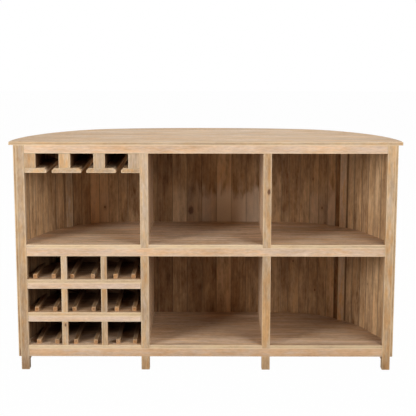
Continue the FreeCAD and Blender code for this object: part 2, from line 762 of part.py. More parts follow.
HANGERS = 4
for index in range(HANGERS):
    number = index + 1
    stem = box(
        f"hanger_stem_{number}_blank",
        (stem_left(index), f"{stem_left(index)} + Dims.stem_width"),
        (HANGER_FRONT, BOW_BACK),
        (STEM_FOOT, TOP_RAIL_UNDERSIDE),
    )
    fitted(f"hanger_stem_{number}", stem, hanger_obstacles)
    left = f"-{END_POST_FACE}"
    right = f"-{MID_POST_FACE}"
    if index > 0:
        left = f"({slot_middle(index - 1)} + Dims.hanger_slot / 2)"
    if index < HANGERS - 1:
        right = f"({slot_middle(index)} - Dims.hanger_slot / 2)"
    profile = flange_profile(f"flange_{number}", left, right, index > 0, index < HANGERS - 1)
    board = doc.addObject("Part::Extrusion", f"hanger_flange_{number}_blank")
    board.Base = profile
    board.DirMode = "Custom"
    board.Dir = Vector(0, 1, 0)
    board.Solid = True
    board.setExpression("LengthFwd", f"{BOW_BACK} - {HANGER_FRONT}")
    fitted(f"hanger_flange_{number}", board, hanger_obstacles)

# ---------------------------------------------------------------- boarding


def bow_stations():
    """Where each part of the bow's right half ends, along it from the middle of the back."""
    bow = bow_points()
    flat_end = bow["back_corner"].x
    shoulder_end = flat_end + size("shoulder_radius") * bow["turn"]
    rounded_end = shoulder_end + bow["side_radius"] * (bow["side_angle"] - bow["turn"])
    return flat_end, shoulder_end, rounded_end, rounded_end + size("side_length")


def bow_at(distance):
    """Point and outward direction on the bow, at a length from the middle of the back."""
    bow = bow_points()
    flat_end, shoulder_end, rounded_end = bow_stations()[:3]
    travel = abs(distance)
    if travel <= flat_end:
        angle = 0.0
        point = Vector(travel, bow["back_corner"].y, 0)
    elif travel <= shoulder_end:
        angle = (travel - flat_end) / size("shoulder_radius")
        reach = Vector(math.sin(angle), math.cos(angle), 0) * size("shoulder_radius")
        point = bow["shoulder_centre"] + reach
    elif travel <= rounded_end:
        angle = bow["turn"] + (travel - shoulder_end) / bow["side_radius"]
        reach = Vector(math.sin(angle), math.cos(angle), 0) * bow["side_radius"]
        point = bow["side_centre"] + reach
    else:
        angle = bow["side_angle"]
        along = Vector(math.cos(angle), -math.sin(angle), 0)
        point = bow["side_end"] + along * (travel - rounded_end)
    outward = Vector(math.sin(angle), math.cos(angle), 0)
    if distance < 0:
        return mirrored(point), Vector(-outward.x, outward.y, 0)
    return point, outward


WIDEST_LAST_PLANK = 1.5


def joints_towards(sign):
    """Distances of the plank joints from the first one outwards to the end post."""
    flat_end, shoulder_end = bow_stations()[:2]
    end = bow_stations()[-1]
    joints = [-sign * size("plank_start")]
    while True:
        here = joints[-1]
        if here < flat_end:
            width = size("back_plank_width")
        elif here < shoulder_end:
            width = size("shoulder_plank_width")
        else:
            width = size("side_plank_width")
        if here + WIDEST_LAST_PLANK * width > end:
            joints.append(end)
            return [sign * joint for joint in joints]
        joints.append(here + width)


def meeting(first, second, offset):
    """Where two plank faces meet: their lines cross, or they run on in one line."""
    (p, n), (q, m) = first, second
    p = p + n * offset
    q = q + m * offset
    cross = n.x * m.y - n.y * m.x
    if abs(cross) < ALMOST_ZERO:
        return (p + q) * 0.5
    a = p.dot(n)
    b = q.dot(m)
    return Vector((a * m.y - b * n.y) / cross, (b * n.x - a * m.x) / cross, 0)


def with_step(side, half_thickness):
    """The side of a plank, from its inner to its outer corner, with a tongue or a groove."""
    inner, outer = side
    face = (outer - inner).normalize()
    ahead = Vector(face.y, -face.x, 0) * size("tongue_reach")
    low = (inner + outer) * 0.5 - face * half_thickness
    high = (inner + outer) * 0.5 + face * half_thickness
    return [inner, low, low + ahead, high + ahead, high, outer]


def plank_outlines():
    """Plan outline of each plank from the left end post to the right one, flat boards all.

    Each has a groove towards the left and a tongue towards the right, except at the end posts.
    """
    right = joints_towards(1)
    left = joints_towards(-1)
    joints = list(reversed(left)) + right[1:]
    faces = []
    for low, high in zip(joints, joints[1:]):
        faces.append(bow_at((low + high) / 2))
    start = bow_points()["start"]
    strip_right = (start, Vector(1, 0, 0))
    strip_left = (mirrored(start), Vector(-1, 0, 0))
    chain = [strip_left] + faces + [strip_right]
    thickness = size("plank_thickness")
    corners = []
    for index, joint in enumerate(joints):
        pair = (chain[index], chain[index + 1])
        inner = meeting(*pair, 0)
        outer = meeting(*pair, thickness)
        if pair[0][1].cross(pair[1][1]).Length < ALMOST_ZERO:
            inner, normal = bow_at(joint)
            outer = inner + normal * thickness
        corners.append((inner, outer))
    half_tongue = size("tongue_thickness") / 2
    half_groove = half_tongue + size("tongue_clearance")
    outlines = []
    last = len(joints) - 2
    for index in range(last + 1):
        (inner_a, outer_a), (inner_b, outer_b) = corners[index], corners[index + 1]
        along = (inner_b - inner_a).normalize() * (size("plank_gap") / 2)
        left_side = [inner_a + along, outer_a + along]
        right_side = [inner_b - along, outer_b - along]
        if index > 0:
            left_side = with_step(left_side, half_groove)
        if index < last:
            right_side = with_step(right_side, half_tongue)
        middle = (joints[index] + joints[index + 1]) / 2
        outlines.append((middle, left_side + right_side[::-1]))
    strips = []
    for inner, outer in (corners[0], corners[-1]):
        back = Vector(0, size("plank_gap") / 2, 0)
        strips.append([
            Vector(inner.x, 0, 0), Vector(outer.x, 0, 0), outer - back, inner - back,
        ])
    return outlines, strips


def boarding(name, outlines):
    """Upright planks from the bottom rail's lower edge to the underside of the top."""
    sketch = doc.addObject("Sketcher::SketchObject", f"{name}_plan")
    for outline in outlines:
        base, count = sketch.GeometryCount, len(outline)
        for index, corner in enumerate(outline):
            sketch.addGeometry(Part.LineSegment(corner, outline[(index + 1) % count]), False)
        for index in range(count):
            sketch.addConstraint(
                Sketcher.Constraint("Coincident", base + index, 2, base + (index + 1) % count, 1)
            )
        for index in range(count):
            sketch.addConstraint(Sketcher.Constraint("Block", base + index))
    sketch.setExpression("Placement.Base.y", FRONT)
    return finish(extruded(f"{name}_piece", sketch, UNDER_TOP, SKIRT), name)


outlines, strips = plank_outlines()
flat_end, shoulder_end = bow_stations()[:2]
for side, word, strip in ((-1, "left", strips[0]), (1, "right", strips[1])):
    own = [(side * middle, outline) for middle, outline in outlines if side * middle > 0]
    boarding(f"edge_strip_{word}", [strip])
    boarding(f"side_planks_{word}", [o for m, o in own if m > shoulder_end])
    boarding(f"shoulder_planks_{word}", [o for m, o in own if flat_end < m <= shoulder_end])
boarding("back_planks", [o for m, o in outlines if abs(m) <= flat_end])

# ---------------------------------------------------------------- glue blocks at the end feet


def foot_block(side, word):
    """A three-cornered block between the end post and the bottom rail's lower edge."""
    width, high = size("foot_block_width"), size("foot_block_height")
    corners = [Vector(0, 0, 0), Vector(-side * width, 0, 0), Vector(0, -high, 0)]
    sketch = doc.addObject("Sketcher::SketchObject", f"foot_block_{word}_profile")
    for index, corner in enumerate(corners):
        sketch.addGeometry(Part.LineSegment(corner, corners[(index + 1) % 3]), False)
    rule = Sketcher.Constraint
    for index in range(3):
        sketch.addConstraint(rule("Coincident", index, 2, (index + 1) % 3, 1))
    sketch.addConstraint([
        rule("Coincident", 0, 1, -1, 1), rule("Horizontal", 0), rule("Vertical", 2),
    ])
    across = (0, 2, 0, 1) if side > 0 else (0, 1, 0, 2)
    for kind, places, alias in (
        ("DistanceX", across, "foot_block_width"),
        ("DistanceY", (2, 1, 2, 2), "foot_block_height"),
    ):
        dimension(sketch, kind, places, size(alias), f"Dims.{alias}", alias)
    sketch.Placement = Placement(Vector(0, 0, 0), Rotation(Vector(1, 0, 0), 90))
    sketch.setExpression("Placement.Base.x", END_POST_FACE if side > 0 else f"-{END_POST_FACE}")
    sketch.setExpression("Placement.Base.y", f"{FRONT} + Dims.foot_block_setback")
    sketch.setExpression("Placement.Base.z", SKIRT)
    block = doc.addObject("Part::Extrusion", f"foot_block_{word}")
    block.Base = sketch
    block.DirMode = "Custom"
    block.Dir = Vector(0, 1, 0)
    block.Solid = True
    block.setExpression("LengthFwd", "Dims.foot_block_depth")
    return block


blocks = doc.addObject("Part::Compound", "foot_blocks_group")
blocks.Links = [foot_block(side, word) for side, word in ((-1, "left"), (1, "right"))]
finish(blocks, "foot_blocks")

# ---------------------------------------------------------------- check and write

doc.recompute()
for obj in doc.Objects:
    state = set(obj.State)
    if "Invalid" in state or "Error" in state:
        raise RuntimeError(f"{obj.Name} did not recompute: {sorted(state)}")
for obj in finished:
    if obj.Shape.isNull() or not obj.Shape.isValid() or not obj.Shape.Solids:
        raise RuntimeError(f"{obj.Label} has no valid solid")
for obj in finished:
    obj.Shape.exportStep(f"parts/{obj.Label}.step")
    print(obj.Label, len(obj.Shape.Solids), "solids,", round(obj.Shape.Volume), "mm3")
print(len(finished), "nodes")
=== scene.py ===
import json
import math
import random
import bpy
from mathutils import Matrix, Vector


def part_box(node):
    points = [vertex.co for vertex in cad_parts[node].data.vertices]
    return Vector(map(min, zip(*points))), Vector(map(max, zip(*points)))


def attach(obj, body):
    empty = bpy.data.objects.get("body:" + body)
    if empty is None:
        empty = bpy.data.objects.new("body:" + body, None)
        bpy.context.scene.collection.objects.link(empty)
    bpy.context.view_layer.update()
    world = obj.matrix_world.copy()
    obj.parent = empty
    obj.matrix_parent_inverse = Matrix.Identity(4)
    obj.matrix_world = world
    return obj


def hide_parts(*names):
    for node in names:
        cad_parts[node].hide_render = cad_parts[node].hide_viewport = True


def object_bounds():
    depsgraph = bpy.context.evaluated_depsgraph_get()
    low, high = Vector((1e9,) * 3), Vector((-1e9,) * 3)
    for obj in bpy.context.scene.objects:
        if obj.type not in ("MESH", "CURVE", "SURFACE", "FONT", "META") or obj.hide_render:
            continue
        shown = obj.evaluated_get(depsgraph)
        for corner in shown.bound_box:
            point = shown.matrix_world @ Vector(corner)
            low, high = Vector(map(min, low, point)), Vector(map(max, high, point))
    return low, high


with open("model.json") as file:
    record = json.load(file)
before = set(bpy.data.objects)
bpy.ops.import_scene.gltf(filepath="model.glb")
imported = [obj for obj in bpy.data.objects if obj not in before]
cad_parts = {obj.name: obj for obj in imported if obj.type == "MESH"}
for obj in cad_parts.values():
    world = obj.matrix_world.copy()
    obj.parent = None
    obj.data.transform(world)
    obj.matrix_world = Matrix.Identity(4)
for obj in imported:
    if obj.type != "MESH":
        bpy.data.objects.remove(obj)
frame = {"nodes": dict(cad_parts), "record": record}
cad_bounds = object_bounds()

from types import SimpleNamespace

import bmesh
import bpy
from mathutils import Matrix, Vector

# Bow-backed bar counter in pale matt hardwood. Every board is taken from its node in the frame,
# given eased arrises and coordinates that run with its grain, and finished by one wood shader.

BODY = "root"

# The face of the posts and rails, and where the boarding lies inside the bottle rack, which gets
# painted shade: left of its side and below the middle shelf. Metres, as in the whole script.
FRONT_PLANE = cad_bounds[0][1]
RACK_SIDE = -0.37
RACK_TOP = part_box("mid_shelf_left")[0][2]

# ------------------------------------------------------------------ node trees


class Graph:
    """Short calls for building the node tree of a material or world."""

    def __init__(self, owner):
        owner.use_nodes = True
        self.nodes = owner.node_tree.nodes
        self.links = owner.node_tree.links
        self.nodes.clear()

    def feed(self, socket, value):
        """Link a socket to another one, or set it to a plain value."""
        if isinstance(value, bpy.types.NodeSocket):
            self.links.new(value, socket)
        else:
            socket.default_value = value

    def math(self, operation, first, second=0.0, clamp=False):
        node = self.nodes.new("ShaderNodeMath")
        node.operation = operation
        node.use_clamp = clamp
        self.feed(node.inputs[0], first)
        self.feed(node.inputs[1], second)
        return node.outputs[0]

    def chain(self, operation, values, clamp=False):
        """One operation over several values, from the left; only the result is clamped."""
        result = values[0]
        for value in values[1:-1]:
            result = self.math(operation, result, value)
        return self.math(operation, result, values[-1], clamp)

    def add(self, *values, clamp=False):
        return self.chain("ADD", values, clamp)

    def multiply(self, *values, clamp=False):
        return self.chain("MULTIPLY", values, clamp)

    def least(self, *values):
        return self.chain("MINIMUM", values)

    def most(self, *values):
        return self.chain("MAXIMUM", values)

    def subtract(self, first, second):
        return self.math("SUBTRACT", first, second)

    def divide(self, first, second):
        return self.math("DIVIDE", first, second)

    def size_of(self, value):
        return self.math("ABSOLUTE", value)

    def rest_of(self, share):
        return self.subtract(1.0, share)

    def swing(self, noise, amount):
        """A noise as a change of at most the amount either side of nothing."""
        return self.multiply(self.subtract(noise, 0.5), 2.0 * amount)

    def vector(self, operation, first, second=(0.0, 0.0, 0.0)):
        node = self.nodes.new("ShaderNodeVectorMath")
        node.operation = operation
        self.feed(node.inputs[0], first)
        self.feed(node.inputs[1], second)
        return node.outputs["Value" if operation == "LENGTH" else "Vector"]

    def combine(self, x, y, z):
        node = self.nodes.new("ShaderNodeCombineXYZ")
        for socket, value in zip(node.inputs, (x, y, z)):
            self.feed(socket, value)
        return node.outputs[0]

    def split(self, vector):
        node = self.nodes.new("ShaderNodeSeparateXYZ")
        self.links.new(vector, node.inputs[0])
        return node.outputs[0], node.outputs[1], node.outputs[2]

    def attribute(self, name):
        node = self.nodes.new("ShaderNodeAttribute")
        node.attribute_name = name
        return node.outputs["Vector"]

    def noise(self, place, detail=2.0, roughness=0.5, distortion=0.0, scale=1.0):
        node = self.nodes.new("ShaderNodeTexNoise")
        self.links.new(place, node.inputs["Vector"])
        node.inputs["Scale"].default_value = scale
        node.inputs["Detail"].default_value = detail
        node.inputs["Roughness"].default_value = roughness
        node.inputs["Distortion"].default_value = distortion
        return node.outputs["Fac"]

    def white_noise(self, place):
        node = self.nodes.new("ShaderNodeTexWhiteNoise")
        node.noise_dimensions = "3D"
        self.links.new(place, node.inputs["Vector"])
        return node.outputs["Value"], node.outputs["Color"]

    def ramp(self, value, low, high, start=0.0, end=1.0, smooth=True):
        """A value going from low to high becomes start to end."""
        node = self.nodes.new("ShaderNodeMapRange")
        node.interpolation_type = "SMOOTHSTEP" if smooth else "LINEAR"
        self.feed(node.inputs["Value"], value)
        node.inputs["From Min"].default_value = low
        node.inputs["From Max"].default_value = high
        node.inputs["To Min"].default_value = start
        node.inputs["To Max"].default_value = end
        return node.outputs["Result"]

    def fade(self, value, low, high):
        """Full up to low, and nothing from high on."""
        return self.ramp(value, low, high, 1.0, 0.0)

    def mix(self, share, first, second, blend="MIX"):
        node = self.nodes.new("ShaderNodeMix")
        node.data_type = "RGBA"
        node.blend_type = blend
        self.feed(node.inputs["Factor"], share)
        colours = [socket for socket in node.inputs if socket.type == "RGBA"]
        self.feed(colours[0], first)
        self.feed(colours[1], second)
        return next(socket for socket in node.outputs if socket.type == "RGBA")

    def stain(self, share, body, tone):
        """Multiply a colour by a tone, as far as the share goes."""
        return self.mix(share, body, self.mix(1.0, body, tone, "MULTIPLY"))


# ------------------------------------------------------------------ camera

IMAGE_PIXELS = 416
FOCAL_PIXELS = 1078.6
SENSOR_MM = 36.0
CAMERA_PLACE = Vector((0.0231, -5.1951, 1.6176))
CAMERA_YAW = math.radians(-0.147)
CAMERA_PITCH = math.radians(9.858)
CAMERA_ROLL = math.radians(-0.055)
CLIP_END = 100.0


def make_camera():
    data = bpy.data.cameras.new("camera")
    data.sensor_width = SENSOR_MM
    data.lens = FOCAL_PIXELS / IMAGE_PIXELS * SENSOR_MM
    data.clip_end = CLIP_END
    level_forward = Vector((math.sin(CAMERA_YAW), math.cos(CAMERA_YAW), 0.0))
    forward = level_forward * math.cos(CAMERA_PITCH) - Vector((0, 0, math.sin(CAMERA_PITCH)))
    level = Vector((math.cos(CAMERA_YAW), -math.sin(CAMERA_YAW), 0.0))
    upright = level.cross(forward)
    right = level * math.cos(CAMERA_ROLL) - upright * math.sin(CAMERA_ROLL)
    up = level * math.sin(CAMERA_ROLL) + upright * math.cos(CAMERA_ROLL)
    camera = bpy.data.objects.new("camera", data)
    turn = Matrix((right, up, -forward)).transposed().to_4x4()
    camera.matrix_world = Matrix.Translation(CAMERA_PLACE) @ turn
    bpy.context.scene.collection.objects.link(camera)
    bpy.context.scene.camera = camera


# ------------------------------------------------------------------ studio

LIGHT_DISTANCE = 4.8
LIGHT_TARGET = Vector((0.0, 0.0, 0.55))
LIGHT_COLOUR = (1.0, 0.99, 0.975)

# Azimuth and elevation in degrees, width and height in metres, power in watts. Azimuth 0 is in
# front of the counter and 90 on its right.
SOFT_BOXES = {
    "key_left": (-43, 18, 1.2, 2.2, 135),
    "key_right": (38, 20, 2.6, 2.2, 92),
    "high_right": (45, 58, 1.8, 1.4, 54),
    "overhead": (180, 88, 3.2, 2.2, 60),
    "rear": (180, 35, 3.0, 1.8, 60),
}

FLOOR_HALF_SIZE = 20.0
FLOOR_GREY = (0.45, 0.45, 0.45, 1.0)
FLOOR_WHITE_SHARE = 0.99
WHITE = (1.0, 1.0, 1.0, 1.0)


def soft_box(name, azimuth, elevation, width, height, power):
    """A rectangular soft light that faces the counter."""
    data = bpy.data.lights.new(name, "AREA")
    data.shape = "RECTANGLE"
    data.size = width
    data.size_y = height
    data.energy = power
    data.color = LIGHT_COLOUR
    turn, rise = math.radians(azimuth), math.radians(elevation)
    away = Vector(
        (math.cos(rise) * math.sin(turn), -math.cos(rise) * math.cos(turn), math.sin(rise))
    )
    light = bpy.data.objects.new(name, data)
    light.location = LIGHT_TARGET + away * LIGHT_DISTANCE
    light.rotation_euler = (-away).to_track_quat("-Z", "Y").to_euler()
    light.visible_camera = False
    bpy.context.scene.collection.objects.link(light)


def white_where_seen(graph, lit, white, share, output):
    """End a tree in its lit shader, turned white where it is seen directly or in a reflection."""
    path = graph.nodes.new("ShaderNodeLightPath").outputs
    seen = graph.most(path["Is Camera Ray"], path["Is Glossy Ray"], path["Is Transmission Ray"])
    mix = graph.nodes.new("ShaderNodeMixShader")
    graph.links.new(graph.multiply(seen, share), mix.inputs["Fac"])
    graph.links.new(lit.outputs[0], mix.inputs[1])
    graph.links.new(white.outputs[0], mix.inputs[2])
    graph.links.new(mix.outputs[0], graph.nodes.new(output).inputs["Surface"])


def make_floor():
    mesh = bpy.data.meshes.new("floor")
    reach = FLOOR_HALF_SIZE
    corners = [(-reach, -reach, 0), (reach, -reach, 0), (reach, reach, 0), (-reach, reach, 0)]
    mesh.from_pydata(corners, [], [(0, 1, 2, 3)])
    material = bpy.data.materials.new("floor_white")
    graph = Graph(material)
    paper = graph.nodes.new("ShaderNodeBsdfDiffuse")
    paper.inputs["Color"].default_value = FLOOR_GREY
    white = graph.nodes.new("ShaderNodeEmission")
    white.inputs["Color"].default_value = WHITE
    white_where_seen(graph, paper, white, FLOOR_WHITE_SHARE, "ShaderNodeOutputMaterial")
    mesh.materials.append(material)
    floor = bpy.data.objects.new("floor", mesh)
    bpy.context.scene.collection.objects.link(floor)


def make_world():
    """A white backdrop that gives no light: the soft boxes give it all."""
    world = bpy.data.worlds.new("studio")
    bpy.context.scene.world = world
    graph = Graph(world)
    dark = graph.nodes.new("ShaderNodeBackground")
    dark.inputs["Strength"].default_value = 0.0
    white = graph.nodes.new("ShaderNodeBackground")
    white.inputs["Color"].default_value = WHITE
    white_where_seen(graph, dark, white, 1.0, "ShaderNodeOutputWorld")


def make_studio():
    make_floor()
    make_world()
    for name, setting in SOFT_BOXES.items():
        soft_box(name, *setting)
    bpy.context.scene.view_settings.view_transform = "Standard"


# ------------------------------------------------------------------ wood shader


def colour(red, green, blue):
    """An sRGB colour, 0 to 255, as the linear values that a socket takes."""
    linear = []
    for channel in (red, green, blue):
        part = channel / 255
        linear.append(part / 12.92 if part <= 0.04045 else ((part + 0.055) / 1.055) ** 2.4)
    return (*linear, 1.0)


PALE = colour(222, 193, 158)
DEEP = colour(166, 130, 92)
BOARD_PALE = colour(226, 196, 164)
BOARD_DEEP = colour(156, 121, 90)
PLANK_PALE = colour(214, 177, 134)
PLANK_DEEP = colour(120, 84, 52)
RAIL_PALE = colour(227, 197, 168)
RAIL_DEEP = colour(173, 137, 105)

RUBBED = colour(236, 212, 176)
# Part wear, part painted highlight on the shelves' front edges.
NOSING = colour(236, 210, 168)
# Painted light on the lower back of the upper bays.
PAINTED_LIGHT = colour(242, 224, 202)
PORE = colour(92, 66, 44)
# The dark of seams and joints, and of the painted shade at board ends and the painted shadow beside
# a rear post.
SEAM_AND_SHADOW = colour(96, 70, 48)
KNOT_RIM = colour(150, 108, 70)
KNOT_HEART = colour(88, 54, 36)
# Painted shade: the colour that undersides, what lies far in and the bottle rack's boarding are
# darkened towards.
PAINTED_SHADE = colour(120, 92, 66)

# Stains, and the painted shade of the feet, that a body colour is multiplied by, linear.
WARM = (1.05, 0.87, 0.64, 1.0)
COOL = (0.92, 0.99, 1.16, 1.0)
FOOT_SHADE = (0.70, 0.62, 0.52, 1.0)
END_GRAIN = (0.70, 0.50, 0.33, 1.0)

# What dress() writes on the vertices of each board, three values a name. Places are measured
# from the board's middle: along it, across it and through it.
#   local   the vertex's place                half    half of the board's sizes
#   offset  where its figure is cut from      tint    shade, warmth, growth (a random share)
#   trait   end tone, rub, painted shade      place   outward, painted light, shadow line
#   joint   tone, reach, nothing              knot_a and knot_b   along, across, radius
TRAITS = ("local", "offset", "half", "tint", "trait", "place", "joint")
KNOT_SLOTS = ("knot_a", "knot_b")

# Noises of the figure: cycles per metre along, across and through, detail, roughness, distortion.
NOISES = {
    "sway": ((1.6, 6.0, 6.0), 3.0, 0.55),
    "streak": ((2.6, 165.0, 165.0), 4.0, 0.6),
    "fleck": ((38.0, 190.0, 190.0), 3.0, 0.6),
    "cloud": ((2.8, 15.0, 15.0), 3.0, 0.6, 0.7),
    "patch": ((9.0, 30.0, 30.0), 2.0, 0.5, 0.4),
    "pore": ((45.0, 1100.0, 1100.0), 2.0, 0.5),
    "spot": ((34.0, 75.0, 75.0), 3.0, 0.65, 0.3),
    "broad_wash": ((4.5, 22.0, 22.0), 2.0, 0.6),
    "small_wash": ((19.0, 85.0, 85.0), 2.0, 0.6),
    "chip": ((14.0, 60.0, 60.0), 3.0, 0.6),
}


def board_sockets(graph):
    """What the mesh says about the board that is being shaded."""
    board = SimpleNamespace(local=graph.attribute("local"), offset=graph.attribute("offset"))
    board.along, board.across, board.through = graph.split(board.local)
    half_length, half_width, board.half_depth = graph.split(graph.attribute("half"))
    board.tint, board.warmth, board.growth = graph.split(graph.attribute("tint"))
    board.end_tone, board.rub, board.inward = graph.split(graph.attribute("trait"))
    board.outward, board.bloom, board.shadow = graph.split(graph.attribute("place"))
    board.joint_tone, board.joint_reach, _ = graph.split(graph.attribute("joint"))
    board.to_end = graph.subtract(half_length, graph.size_of(board.along))
    board.to_edge = graph.subtract(half_width, graph.size_of(board.across))
    board.to_face = graph.subtract(board.half_depth, graph.size_of(board.through))
    return board


STAVE_DRIFT = (7.0, 3.0, 5.0)
STAVE_TINT = 0.5
SEAM_WIDTH = 0.0020


def glue_up(graph, board, stave):
    """Make a wide board of staves with a figure and tone each, and return the seams between."""
    staves = graph.add(graph.divide(board.across, stave), board.growth)
    number = graph.math("FLOOR", staves)
    pick, drift = graph.white_noise(graph.combine(number, board.growth, 0.5))
    board.offset = graph.vector("ADD", board.offset, graph.vector("MULTIPLY", drift, STAVE_DRIFT))
    tone = graph.ramp(pick, 0.0, 1.0, -STAVE_TINT, STAVE_TINT, smooth=False)
    board.tint = graph.add(board.tint, tone)
    place = graph.subtract(staves, number)
    to_seam = graph.least(place, graph.rest_of(place))
    return graph.fade(to_seam, 0.0, SEAM_WIDTH / stave)


# Knots: what a length along the grain counts for, which draws them out; the radius below which
# there is none, and the least one to divide by; then, in radii, how far a knot bends the rings,
# how uneven its rim is, and where it ends.
KNOT_STRETCH = 0.55
KNOT_NONE = 0.0005
KNOT_FLOOR = 0.0001
KNOT_NEAR = 5.0
KNOT_WOBBLE = 0.7
KNOT_EDGE = (0.9, 1.6)
WOBBLES_PER_METRE = 160.0


def knots(graph, board):
    """How strongly the knots draw the rings round them, and where their dark hearts are."""
    pull, heart = 0.0, 0.0
    for slot in KNOT_SLOTS:
        knot_along, knot_across, radius = graph.split(graph.attribute(slot))
        along = graph.multiply(graph.subtract(board.along, knot_along), KNOT_STRETCH)
        place = graph.combine(along, graph.subtract(board.across, knot_across), 0.0)
        ratio = graph.divide(graph.vector("LENGTH", place), graph.most(radius, KNOT_FLOOR))
        has_knot = graph.math("GREATER_THAN", radius, KNOT_NONE)
        pull = graph.add(graph.multiply(graph.fade(ratio, 0.0, KNOT_NEAR), has_knot), pull)
        wobble = graph.noise(place, scale=WOBBLES_PER_METRE)
        rim = graph.add(ratio, graph.multiply(wobble, KNOT_WOBBLE))
        heart = graph.most(graph.multiply(graph.fade(rim, *KNOT_EDGE), has_knot), heart)
    return pull, heart


# The pith lies behind the board, off its middle line by up to the shift, and leans along it.
PITH_DEPTH = 0.034
PITH_SHIFT = 0.07
PITH_MIDDLE = 0.35
PITH_LEAN = 0.09
PITH_SWAY = 0.035
KNOT_PULL = 0.012
RINGS_PER_METRE = 105.0
RING_CHANGE = 0.7


def growth_rings(graph, board, sway, pull):
    """Rings round a pith that leans and wanders along the board, and round its knots."""
    shift = graph.multiply(graph.subtract(board.growth, PITH_MIDDLE), PITH_SHIFT)
    slope = graph.multiply(graph.subtract(board.growth, 0.5), PITH_LEAN)
    lean = graph.add(graph.multiply(board.along, slope), graph.swing(sway, PITH_SWAY))
    across = graph.add(board.across, shift)
    through = graph.add(graph.add(board.through, PITH_DEPTH), lean)
    radius = graph.vector("LENGTH", graph.combine(across, through, 0.0))
    radius = graph.add(radius, graph.multiply(pull, KNOT_PULL))
    rings = graph.multiply(radius, RINGS_PER_METRE)
    return graph.noise(graph.combine(rings, board.growth, graph.multiply(board.along, RING_CHANGE)))


MIDDLE_DEPTH = 0.42
PATCH_PART = 0.7
TINT_IN_DEPTH = -0.2


def figure(graph, board, noises, ring, rings, streaks, clouds, flecks, mottle):
    """How deep the wood's own colour is at each point, from 0 to 1."""
    return graph.add(
        graph.swing(ring, rings),
        graph.swing(noises.streak, streaks),
        graph.swing(noises.cloud, clouds),
        graph.swing(noises.fleck, flecks),
        graph.swing(noises.patch, clouds * PATCH_PART),
        graph.swing(noises.spot, mottle),
        graph.multiply(board.tint, TINT_IN_DEPTH),
        MIDDLE_DEPTH,
        clamp=True,
    )


OUTSIDE_SPAN = (0.0, 0.6)
OUTSIDE_TINT = 0.5


def outer_faces(graph, board, pale, deep, outer):
    """The boarding's two colours. Its outer faces have their own, half of the tone, no painted
    light.
    """
    outwards = graph.multiply(graph.divide(board.through, board.half_depth), board.outward)
    board.outside = graph.ramp(outwards, *OUTSIDE_SPAN)
    board.inside = graph.rest_of(board.outside)
    weaker = graph.ramp(board.outside, 0.0, 1.0, 1.0, OUTSIDE_TINT)
    board.tint = graph.multiply(board.tint, weaker)
    board.bloom = graph.multiply(board.bloom, board.inside)
    return graph.mix(board.outside, pale, outer[0]), graph.mix(board.outside, deep, outer[1])


BROAD_PART = 0.55
SMALL_PART = 0.45
WARMTH_SHIFT = 0.05
WARM_SPAN = (0.47, 0.66)
COOL_SPAN = (0.34, 0.53)


def washed(graph, board, noises, body, share):
    """Warm and grey wash in broad patches that break up into flecks."""
    wash = graph.add(
        graph.multiply(noises.broad_wash, BROAD_PART),
        graph.multiply(noises.small_wash, SMALL_PART),
        graph.multiply(board.warmth, WARMTH_SHIFT),
    )
    body = graph.stain(graph.ramp(wash, *WARM_SPAN, 0.0, share), body, WARM)
    return graph.stain(graph.ramp(wash, *COOL_SPAN, share, 0.0), body, COOL)


# Painted light: where the paler patch on the boarding ends.
PAINTED_LIGHT_EDGE = (0.15, 0.25)
PAINTED_LIGHT_RAGGED = 0.10


def bloomed(graph, board, noises, body):
    """Painted light: paler colour in the upper half of the boarding, from its middle up to a ragged
    edge, where light falls low in the upper bays.
    """
    height = graph.add(board.along, graph.swing(noises.patch, PAINTED_LIGHT_RAGGED))
    upper_half = graph.math("GREATER_THAN", board.along, 0.0)
    share = graph.multiply(graph.fade(height, *PAINTED_LIGHT_EDGE), upper_half, board.bloom)
    return graph.mix(share, body, PAINTED_LIGHT)


JOINT_EDGE = (-0.3, 0.8)
JOINT_RAGGED = 0.8
JOINT_OUTSIDE = 0.4
JOINT_LEAST = 0.3


def plank_joints(graph, board, noises, body):
    """Dark joints between planks, weaker outside and on some of the planks."""
    away = graph.divide(board.to_edge, board.joint_reach)
    away = graph.subtract(away, graph.multiply(noises.fleck, JOINT_RAGGED))
    outside = graph.ramp(board.outside, 0.0, 1.0, 1.0, JOINT_OUTSIDE)
    by_plank = graph.ramp(board.growth, 0.0, 1.0, JOINT_LEAST, 1.0)
    dark = graph.multiply(graph.fade(away, *JOINT_EDGE), board.joint_tone, outside, by_plank)
    return graph.mix(dark, body, SEAM_AND_SHADOW)


SHADOW_EDGE = (0.003, 0.0085)
SHADOW_DARK = 0.75


def shadow_line(graph, board, body):
    """The narrow dark line beside a rear post, on the boarding's inner face."""
    beside = graph.size_of(graph.subtract(board.across, board.shadow))
    dark = graph.ramp(beside, *SHADOW_EDGE, SHADOW_DARK, 0.0)
    has_line = graph.math("LESS_THAN", board.shadow, 0.0)
    return graph.mix(graph.multiply(dark, board.inside, has_line), body, SEAM_AND_SHADOW)


RUB_CHIPS = 0.006
RUB_EDGE = (-0.002, 0.0018)


def rubbed_arrises(graph, board, noises, body):
    """Paler arrises. Of the distances to the sides, the middle one is that to the arris."""
    sides = (board.to_end, board.to_edge, board.to_face)
    larger_two = graph.subtract(graph.add(*sides), graph.least(*sides))
    to_arris = graph.subtract(larger_two, graph.most(*sides))
    paling = graph.subtract(to_arris, graph.multiply(noises.chip, RUB_CHIPS))
    return graph.mix(graph.multiply(graph.fade(paling, *RUB_EDGE), board.rub), body, RUBBED)


# Painted shade in the gaps at board ends.
MEETING_CHIPS = 0.0015
MEETING_REACH = 0.0025


def shaded_board_ends(graph, board, noises, body):
    """Painted shade: a dark line in the gap where the end of a board meets another one."""
    away = graph.subtract(board.to_end, graph.multiply(noises.chip, MEETING_CHIPS))
    dark = graph.multiply(graph.fade(away, 0.0, MEETING_REACH), board.joint_tone)
    return graph.mix(dark, body, SEAM_AND_SHADOW)


